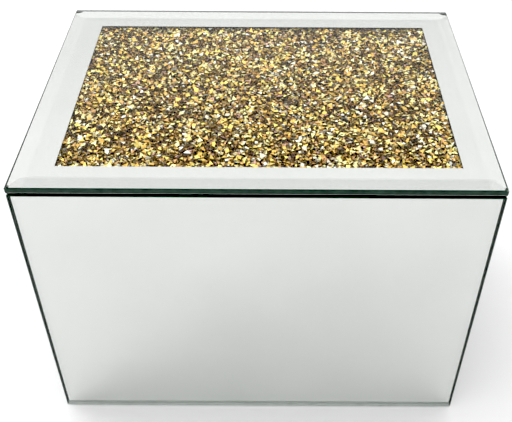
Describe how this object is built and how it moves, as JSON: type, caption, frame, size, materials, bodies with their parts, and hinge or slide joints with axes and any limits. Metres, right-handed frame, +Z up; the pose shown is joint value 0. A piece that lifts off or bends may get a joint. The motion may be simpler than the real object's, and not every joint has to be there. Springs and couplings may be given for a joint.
{
  "type": "vanity trinket box",
  "caption": "Rectangular mirror-glass trinket box with a hinged lid of bevelled glass over a bed of crushed gold crystal, lined inside with velvet.",
  "frame": {"origin": "centre of the footprint, hinge barrels included, on the surface the feet stand on", "axes": "+Z up, front towards -Y, +X to the right seen from the front"},
  "size_m": [0.2, 0.153, 0.15],
  "materials": {
    "wall_mirror": "silvered float glass, bright, narrow ground arrises",
    "lid_glass": "clear float glass, green at its edges, polished bevel, silvered border behind",
    "crystal": "crushed chips with gold and amber mirror coating, glittering",
    "velvet": "short black pile",
    "felt": "matt black pressed felt",
    "black_board": "fibreboard wrapped in matt black paper",
    "fibreboard": "raw sanded fibreboard",
    "hinge_metal": "nickel plated, lightly brushed",
    "clear_silicone": "clear soft silicone, satin"
  },
  "bodies": {
    "body": {"mirror_front": "wall_mirror", "wall_board_front": "black_board", "lining_front": "velvet", "mirror_back": "wall_mirror", "wall_board_back": "black_board", "lining_back": "velvet", "mirror_left": "wall_mirror", "wall_board_left": "black_board", "lining_left": "velvet", "mirror_right": "wall_mirror", "wall_board_right": "black_board", "lining_right": "velvet", "base_board": "fibreboard", "floor_liner": "velvet", "felt_underside": "felt", "felt_foot_front_left": "felt", "felt_foot_front_right": "felt", "felt_foot_back_left": "felt", "felt_foot_back_right": "felt", "bumper_left": "clear_silicone", "hinge_leaf_body_left": "hinge_metal", "hinge_pin_left": "hinge_metal", "screw_body_left_1": "hinge_metal", "screw_body_left_2": "hinge_metal", "bumper_right": "clear_silicone", "hinge_leaf_body_right": "hinge_metal", "hinge_pin_right": "hinge_metal", "screw_body_right_1": "hinge_metal", "screw_body_right_2": "hinge_metal"},
    "lid": {"lid_glass": "lid_glass", "crystal_bed": "crystal", "backing_board": "fibreboard", "lid_lining": "velvet", "lid_rail_front": "black_board", "lid_rail_back": "black_board", "lid_rail_left": "black_board", "lid_rail_right": "black_board", "hinge_leaf_lid_left": "hinge_metal", "screw_lid_left_1": "hinge_metal", "screw_lid_left_2": "hinge_metal", "hinge_leaf_lid_right": "hinge_metal", "screw_lid_right_1": "hinge_metal", "screw_lid_right_2": "hinge_metal"}
  },
  "joints": [
    {"name": "lid_hinge", "type": "hinge", "parent": "body", "child": "lid", "pos_m": [0, 0.07515, 0.1454], "axis": [-1, 0, 0], "range_deg": [0, 100]}
  ]
}
